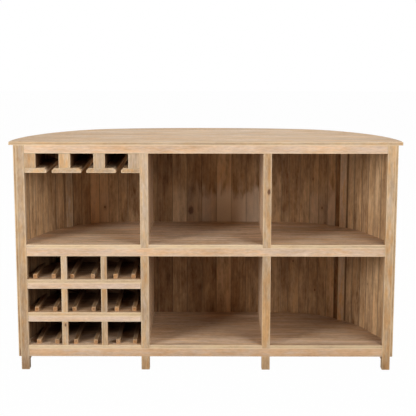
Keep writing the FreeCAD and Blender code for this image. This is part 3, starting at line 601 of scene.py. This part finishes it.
# Part wear, part painted highlight: the shelves' front-facing faces made paler in patches.
NOSING_FACING = (-0.75, -0.95)
NOSING_PATCHES = (0.38, 0.62)
NOSING_LEAST = 0.25


def nosing_wear_and_highlight(graph, facing, patch, body, amount):
    """Paler front edges of the shelves: part wear, part painted highlight on the faces that look to
    the front.
    """
    paling = graph.ramp(facing, *NOSING_FACING, 0.0, amount)
    paling = graph.multiply(paling, graph.ramp(patch, *NOSING_PATCHES, NOSING_LEAST, 1.0))
    return graph.mix(paling, body, NOSING)


# Painted shade under things, deep inside and on the boarding in the bottle rack.
SHADE_UNDER_FACING = (-0.95, -0.75)
SHADE_UNDER = 0.45
SHADE_INWARD_SPAN = (-0.01, 0.32)
SHADE_INWARD_MOST = 0.9
RACK_FADE_START, RACK_FADE_END = FRONT_PLANE + 0.03, FRONT_PLANE + 0.10
SHADE_IN_RACK = 0.6


def painted_shade_share(graph, board, rise, position, boarding):
    """Painted shade: the undersides, what lies far in, and the planks inside the bottle rack are
    darkened.
    """
    below = graph.ramp(rise, *SHADE_UNDER_FACING, SHADE_UNDER, 0.0)
    shade_share = graph.most(below, graph.ramp(board.inward, *SHADE_INWARD_SPAN, 0.0, SHADE_INWARD_MOST))
    if boarding:
        east, north, up = position
        rack = graph.multiply(
            graph.math("LESS_THAN", east, RACK_SIDE),
            graph.ramp(north, RACK_FADE_START, RACK_FADE_END),
            graph.math("LESS_THAN", up, RACK_TOP),
            board.inside,
        )
        shade_share = graph.most(shade_share, graph.multiply(rack, SHADE_IN_RACK))
    return shade_share


# Painted shade: darker towards the floor.
FOOT_SHADE_SPAN = (0.02, 0.10)
FOOT_SHADE_RAGGED = 0.03
FOOT_SHADE_MOST = 0.8


def shaded_feet(graph, height, cloud, body):
    """Painted shade low on the feet, darker towards the floor up to a ragged edge."""
    height = graph.add(height, graph.swing(cloud, FOOT_SHADE_RAGGED))
    return graph.stain(graph.ramp(height, *FOOT_SHADE_SPAN, FOOT_SHADE_MOST, 0.0), body, FOOT_SHADE)


STREAK_SPAN = (0.3, 0.7)
ROUGHNESS = (0.62, 0.78)
SPECULAR = 0.25
STREAK_RELIEF = 0.6
PORE_RELIEF = -0.5
RING_RELIEF = 0.15
BUMP_STRENGTH = 0.35
BUMP_DISTANCE = 0.0008


def matt_surface(graph, body, streak, pores, ring):
    """End the tree in a matt surface with the relief of open grain."""
    shader = graph.nodes.new("ShaderNodeBsdfPrincipled")
    graph.links.new(body, shader.inputs["Base Color"])
    graph.links.new(graph.ramp(streak, *STREAK_SPAN, *ROUGHNESS), shader.inputs["Roughness"])
    shader.inputs["Specular IOR Level"].default_value = SPECULAR
    relief = graph.add(
        graph.multiply(streak, STREAK_RELIEF),
        graph.multiply(pores, PORE_RELIEF),
        graph.multiply(ring, RING_RELIEF),
    )
    bump = graph.nodes.new("ShaderNodeBump")
    bump.inputs["Strength"].default_value = BUMP_STRENGTH
    bump.inputs["Distance"].default_value = BUMP_DISTANCE
    graph.links.new(relief, bump.inputs["Height"])
    graph.links.new(bump.outputs[0], shader.inputs["Normal"])
    output = graph.nodes.new("ShaderNodeOutputMaterial")
    graph.links.new(shader.outputs[0], output.inputs["Surface"])


TONE_GAIN = (0.20, 0.235, 0.27)
PORE_SPAN = (0.60, 0.72)
PORE_DARK = 0.30
KNOT_RIM_SHARE = 0.35
KNOT_HEART_SHARE = 0.85
END_GRAIN_SPAN = (0.0010, 0.0002)


def wood(name, pale, deep, rings=0.2, streaks=0.3, clouds=0.5, flecks=0.4, mottle=0.2,
         wash=1.0, stave=0.0, seam_dark=0.0, nosing=0.0, outer=None):
    """Matt, lightly limed wood, with how much of each figure it shows. Wide boards give the
    width of a stave, and the boarding gives the two colours of its outer faces."""
    material = bpy.data.materials.new(name)
    graph = Graph(material)
    board = board_sockets(graph)
    seams = glue_up(graph, board, stave) if stave else None
    cut = graph.vector("ADD", board.local, board.offset)
    noises = SimpleNamespace()
    for key, (scales, *setting) in NOISES.items():
        setattr(noises, key, graph.noise(graph.vector("MULTIPLY", cut, scales), *setting))
    pull, heart = knots(graph, board)
    ring = growth_rings(graph, board, noises.sway, pull)
    pores = graph.ramp(noises.pore, *PORE_SPAN)
    depth = figure(graph, board, noises, ring, rings, streaks, clouds, flecks, mottle)

    if outer:
        pale, deep = outer_faces(graph, board, pale, deep, outer)
    gains = [graph.add(1.0, graph.multiply(board.tint, gain)) for gain in TONE_GAIN]
    body = graph.mix(1.0, graph.mix(depth, pale, deep), graph.combine(*gains), "MULTIPLY")
    body = washed(graph, board, noises, body, wash)
    # Painted light low in the upper bays.
    if outer:
        body = bloomed(graph, board, noises, body)
    body = graph.mix(graph.multiply(pores, PORE_DARK), body, PORE)
    body = graph.mix(graph.multiply(pull, KNOT_RIM_SHARE, clamp=True), body, KNOT_RIM)
    body = graph.mix(graph.multiply(heart, KNOT_HEART_SHARE), body, KNOT_HEART)
    if stave:
        body = graph.mix(graph.multiply(seams, seam_dark), body, SEAM_AND_SHADOW)
    if outer:
        body = plank_joints(graph, board, noises, body)
        body = shadow_line(graph, board, body)
    body = rubbed_arrises(graph, board, noises, body)
    # Painted shade where board ends meet other boards.
    if not outer:
        body = shaded_board_ends(graph, board, noises, body)
    end_grain = graph.multiply(graph.ramp(board.to_end, *END_GRAIN_SPAN), board.end_tone)
    body = graph.stain(end_grain, body, END_GRAIN)

    geometry = graph.nodes.new("ShaderNodeNewGeometry").outputs
    _, facing, rise = graph.split(geometry["True Normal"])
    position = graph.split(geometry["Position"])
    # Part wear, part painted highlight on the shelves' front edges.
    if nosing:
        body = nosing_wear_and_highlight(graph, facing, noises.patch, body, nosing)
    # Painted shade under things and deep inside.
    shade_share = painted_shade_share(graph, board, rise, position, boarding=bool(outer))
    body = graph.stain(shade_share, body, PAINTED_SHADE)
    # Painted shade low on the feet.
    body = shaded_feet(graph, position[2], noises.cloud, body)
    matt_surface(graph, body, noises.streak, pores, ring)
    return material


# Material slot to the look of its wood.
FINISHES = {
    "top_wood": dict(
        pale=PALE, deep=DEEP, rings=0.15, streaks=0.35, clouds=0.55, wash=0.9, stave=0.094,
        seam_dark=0.15,
    ),
    "post_wood": dict(pale=PALE, deep=DEEP, streaks=0.35, clouds=0.6, mottle=0.3),
    "rail_wood": dict(
        pale=RAIL_PALE, deep=RAIL_DEEP, rings=0.12, streaks=0.2, clouds=0.45, wash=0.6,
    ),
    "board_wood": dict(
        pale=BOARD_PALE, deep=BOARD_DEEP, rings=0.35, streaks=0.8, clouds=0.6, flecks=0.6,
        mottle=0.3, wash=0.7, stave=0.088, seam_dark=0.55, nosing=0.6,
    ),
    "plank_wood": dict(
        pale=PLANK_PALE, deep=PLANK_DEEP, rings=0.35, streaks=0.45, clouds=0.7, flecks=0.3,
        mottle=0.35, wash=0.35, outer=(PALE, DEEP),
    ),
    "rack_wood": dict(pale=PALE, deep=DEEP, streaks=0.35),
}

# ------------------------------------------------------------------ what the boards look like

# The keys of the next five tables are words in a node's name, and the first that fits counts.

# Width of the eased arrises. The top has its own in CAD.
ARRIS = {"top_board": 0.0, "top_rail": 0.0004, "post": 0.0016}
COMMON_ARRIS = 0.0012

# How dark the end grain is, how much the arrises are rubbed, and how fast painted shade deepens
# inwards.
END_TONES = {"bottle_rests": 0.6}
RUBS = {"mid_shelf": 0.8, "bottle_shelf": 0.8, "bottom_shelf": 0.7, "plank": 0.08}
COMMON_RUB = 0.5
SHADE_INWARD_RATES = {
    "bottle_rests": 1.5, "bottle_shelf": 1.0, "bottle_stop": 1.0, "bottom_shelf_left": 1.0,
    "hanger_stem": 10.0,
}

# How dark the joints along the planks, or at a board's ends, are, and how far they reach. At a
# board's ends the dark is painted shade in the gap.
JOINTS = {
    "side_planks": (0.8, 0.0055), "back_planks": (0.55, 0.003), "plank": (0.9, 0.0034),
    "hanger_stem": (0.6, 0.003), "bottle_upright": (0.35, 0.003), "rail": (0.4, 0.003),
}
COMMON_JOINT = (0.0, 0.003)

# Boards with a tone of their own, from left to right: how much paler, how much warmer. The pale
# tones of divider_panel_right and shoulder_planks_left are partly painted light.
TONES = {
    "end_post_left": [(-0.3, -0.6)],
    "mid_post_left": [(0.0, -0.2)],
    "mid_post_right": [(0.0, 0.9)],
    "end_post_right": [(-0.1, 0.8)],
    "top_board": [(-0.4, -0.5)],
    "top_rail": [(0.3, 0.2)],
    "middle_rail": [(0.4, 0.4)],
    "bottom_rail": [(0.15, 1.3)],
    "divider_panel_left": [(0.2, 0.0)],
    "divider_panel_right": [(0.9, 0.0)],
    "mid_shelf_left": [(0.6, 0.0)],
    "side_planks_left": [
        (-0.2, 0.2), (0.0, 0.0), (0.9, 0.2), (0.3, -0.2),
        (0.3, 0.1), (-0.5, 0.0), (-0.1, 0.3), (-0.2, 0.0),
    ],
    "shoulder_planks_left": [
        (-0.4, 0.9), (-0.1, 0.8), (1.6, 0.0),
        (1.5, -0.4), (0.9, -0.5), (0.2, 0.0),
    ],
    "back_planks": [
        (-0.3, 0.0), (-1.2, 0.2), (-1.3, 0.9), (-0.3, 0.2), (-0.8, 0.6),
        (-0.5, 0.6), (0.9, -1.0), (-0.2, -0.2), (-0.1, -0.3), (-0.1, 0.3),
    ],
    "shoulder_planks_right": [
        (-0.3, 0.6), (-0.4, 0.6), (0.3, 0.4),
        (0.2, 0.2), (0.0, 0.2), (0.9, -0.3),
    ],
    "side_planks_right": [
        (-0.6, 0.3), (0.3, -0.2), (-0.3, 0.4), (-0.3, -0.2),
        (0.4, -0.1), (0.7, -0.3), (0.3, 0.6), (-0.1, 0.0),
    ],
    "rear_post_left": [(-0.3, -0.2)],
    "rear_post_right": [(0.9, 0.3)],
    "bottle_rail_upper": [(0.5, -0.8)],
    "bottle_rail_lower": [(0.5, -0.8)],
}
# The other boards' tones are drawn within these; the bottle rests are darker and warm.
SHADE_REACH = 0.4
WARMTH_REACH = 1.0
REST_SHADE = -0.5
REST_WARMTH = 1.0

# How much painted light falls low down in the upper bays: board to share.
PAINTED_LIGHT_SHARES = {
    "back_planks": {3: 0.15, 4: 0.2, 5: 0.5, 6: 0.95, 7: 0.75, 8: 0.6},
    "shoulder_planks_left": {2: 0.15, 3: 0.3},
    "shoulder_planks_right": {3: 0.2, 4: 0.2, 5: 0.45},
}

# The shadow line beside a rear post: board to the line's place across it, which is below 0.
SHADOWS = {"side_planks_right": {1: -0.0158}}

# Knots: board, place along and across it, radius; two a board at most.
KNOTS = {
    "shoulder_planks_left": [(3, 0.1157, -0.0033, 0.0035)],
    "shoulder_planks_right": [
        (4, 0.1182, -0.0053, 0.0040), (4, 0.0427, 0.0134, 0.0030), (1, -0.1697, -0.0036, 0.0035),
        (3, -0.3136, 0.0120, 0.0040), (3, 0.2632, -0.0081, 0.0025),
    ],
    "side_planks_right": [(4, -0.2136, -0.0204, 0.0035)],
    "back_planks": [(4, 0.0950, -0.0190, 0.0135)],
    "mid_post_right": [(0, 0.3161, 0.0075, 0.0078)],
    "bottle_upright_bottom_left": [(0, 0.0407, 0.0022, 0.0048)],
}
NO_KNOT = (0.0, 0.0, 0.0)


def by_name(node, table, common):
    for word, value in table.items():
        if word in node:
            return value
    return common


# ------------------------------------------------------------------ boards

# Nodes whose grain runs along Z or Y; the rest lie along X.
UPRIGHT = (
    "end_post", "mid_post", "rear_post", "divider_panel", "edge_strip", "side_planks",
    "shoulder_planks", "back_planks", "foot_blocks", "bottle_upright", "hanger_stem",
)
FRONT_TO_BACK = ("bottle_rests", "hanger_flange", "side_bearer")

# Vertices closer than MERGE are one, and faces within FLAT of each other lie in one plane.
MERGE = 0.00002
FLAT = math.radians(0.3)
# A face is an end where less than END_FACE of its normal is square to the board's length, and
# sides whose normals agree to DIRECTION_DIGITS count as one.
END_FACE = 0.5
DIRECTION_DIGITS = 2
TINY = 1e-4
# How far from a broad face its vertices may lie, and how sharp an edge is eased or kept.
FACE_REACH = 0.0012
SHARP = math.radians(25)
SMOOTH_LIMIT = math.radians(20)
BEVEL_SEGMENTS = 2
ROUND_PROFILE = 0.5


def grain_axis(node):
    if node.startswith(UPRIGHT):
        return Vector((0, 0, 1))
    if node.startswith(FRONT_TO_BACK):
        return Vector((0, 1, 0))
    return Vector((1, 0, 0))


def linked_groups(mesh):
    """The indices of the vertices that hang together, group by group."""
    unseen = set(mesh.verts)
    groups = []
    for start in mesh.verts:
        if start not in unseen:
            continue
        group, queue = set(), [start]
        unseen.discard(start)
        while queue:
            here = queue.pop()
            group.add(here.index)
            for edge in here.link_edges:
                other = edge.other_vert(here)
                if other in unseen:
                    unseen.discard(other)
                    queue.append(other)
        groups.append(group)
    return groups


def loose_solids(mesh):
    """A node's solids from left to right, each a bmesh with its flat faces whole again."""
    whole = bmesh.new()
    whole.from_mesh(mesh)
    bmesh.ops.remove_doubles(whole, verts=whole.verts, dist=MERGE)
    bmesh.ops.dissolve_limit(
        whole, angle_limit=FLAT, verts=whole.verts, edges=whole.edges, delimit=set()
    )
    whole.verts.ensure_lookup_table()
    whole.verts.index_update()
    solids = []
    for group in linked_groups(whole):
        single = whole.copy()
        others = [vert for vert in single.verts if vert.index not in group]
        bmesh.ops.delete(single, geom=others, context="VERTS")
        solids.append(single)
    whole.free()
    return sorted(solids, key=lambda one: sum(vert.co.x for vert in one.verts) / len(one.verts))


def board_axes(solid, along):
    """Length, width and depth directions of a board: depth faces its largest side."""
    weights = {}
    for face in solid.faces:
        flat = face.normal - along * face.normal.dot(along)
        if flat.length < END_FACE:
            continue
        flat.normalize()
        level_x, level_y = abs(flat.x) < TINY, abs(flat.y) < TINY
        if flat.x < 0 or (level_x and (flat.y < 0 or (level_y and flat.z < 0))):
            flat = -flat
        key = tuple(round(part, DIRECTION_DIGITS) for part in flat)
        area, normal = weights.get(key, (0.0, flat))
        weights[key] = (area + face.calc_area(), normal)
    depth = max(weights.values(), key=lambda item: item[0])[1]
    return along, depth.cross(along).normalized(), depth


def broad_face_verts(solid, depth):
    """The vertices on a board's two broad faces; those of its tongue or groove lie between."""
    heights = {vert: vert.co.dot(depth) for vert in solid.verts}
    low, high = min(heights.values()), max(heights.values())
    return {
        vert for vert, height in heights.items() if min(height - low, high - height) < FACE_REACH
    }


def ease_arrises(solid, width, outer):
    """Bevel a board's corners; the edges of a tongue or groove stay sharp."""
    if not width:
        return
    edges = [
        edge for edge in solid.edges
        if edge.is_manifold
        and edge.calc_face_angle(0.0) > SHARP
        and outer.issuperset(edge.verts)
    ]
    bmesh.ops.bevel(
        solid, geom=edges, offset=width, offset_type="OFFSET", segments=BEVEL_SEGMENTS,
        profile=ROUND_PROFILE, affect="EDGES", clamp_overlap=True,
    )


SEED = 20
OFFSET_REACH = 6.0


def board_values(node, index, axes, middle, half, dice):
    """The attributes that are the same all over one board."""
    offset = [dice.uniform(0, OFFSET_REACH) for _ in axes]
    shade = dice.uniform(-SHADE_REACH, SHADE_REACH)
    warmth = dice.uniform(-WARMTH_REACH, WARMTH_REACH)
    if node.startswith("bottle_rests"):
        shade, warmth = shade + REST_SHADE, REST_WARMTH
    if node in TONES:
        shade, warmth = TONES[node][index]
    centre = sum((axis * place for axis, place in zip(axes, middle)), Vector())
    outward = math.copysign(1.0, axes[2].x * centre.x + axes[2].y * (centre.y - FRONT_PLANE))
    # Painted light low in the upper bays, and the painted shadow line beside a rear post.
    bloom = PAINTED_LIGHT_SHARES.get(node, {}).get(index, 0.0)
    shadow = SHADOWS.get(node, {}).get(index, 0.0)
    values = {
        "offset": offset,
        "half": half,
        "tint": (shade, warmth, dice.random()),
        "place": (outward, bloom, shadow),
        "joint": (*by_name(node, JOINTS, COMMON_JOINT), 0.0),
    }
    own_knots = [knot for board, *knot in KNOTS.get(node, ()) if board == index]
    values.update(zip(KNOT_SLOTS, (*own_knots, NO_KNOT, NO_KNOT)))
    return values


def dress(node, source):
    """The visible boards of one node, with their grain coordinates."""
    dice = random.Random(f"{SEED} {node}")
    joined = bmesh.new()
    rows = {name: [] for name in (*TRAITS, *KNOT_SLOTS)}
    end_tone = by_name(node, END_TONES, 0.0)
    rub = by_name(node, RUBS, COMMON_RUB)
    inward = by_name(node, SHADE_INWARD_RATES, 0.0)
    for index, solid in enumerate(loose_solids(source.data)):
        axes = board_axes(solid, grain_axis(node))
        outer = broad_face_verts(solid, axes[2])
        spans = [[vert.co.dot(axis) for vert in outer] for axis in axes]
        middle = [(min(span) + max(span)) / 2 for span in spans]
        half = [(max(span) - min(span)) / 2 for span in spans]
        ease_arrises(solid, by_name(node, ARRIS, COMMON_ARRIS), outer)
        values = board_values(node, index, axes, middle, half, dice)
        for vert in solid.verts:
            for name, value in values.items():
                rows[name] += value
            rows["local"] += [vert.co.dot(axis) - zero for axis, zero in zip(axes, middle)]
            rows["trait"] += (end_tone, rub, inward * (vert.co.y - FRONT_PLANE))
        part = bpy.data.meshes.new("part")
        solid.to_mesh(part)
        joined.from_mesh(part)
        solid.free()
        bpy.data.meshes.remove(part)
    mesh = bpy.data.meshes.new(f"{node}_wood")
    joined.to_mesh(mesh)
    joined.free()
    for name, values in rows.items():
        layer = mesh.attributes.new(name, "FLOAT_VECTOR", "POINT")
        layer.data.foreach_set("vector", values)
    mesh.shade_smooth()
    mesh.set_sharp_from_angle(angle=SMOOTH_LIMIT)
    piece = bpy.data.objects.new(f"{node}_wood", mesh)
    bpy.context.scene.collection.objects.link(piece)
    slot = slots[node]
    mesh.materials.append(finishes[slot])
    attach(piece, BODY)
    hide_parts(node)


slots = {part["node"]: part["material_slot"] for part in frame["record"]["subparts"]}
finishes = {slot_name: wood(slot_name, **look) for slot_name, look in FINISHES.items()}

make_camera()
make_studio()
for node_name, node_object in sorted(frame["nodes"].items()):
    dress(node_name, node_object)
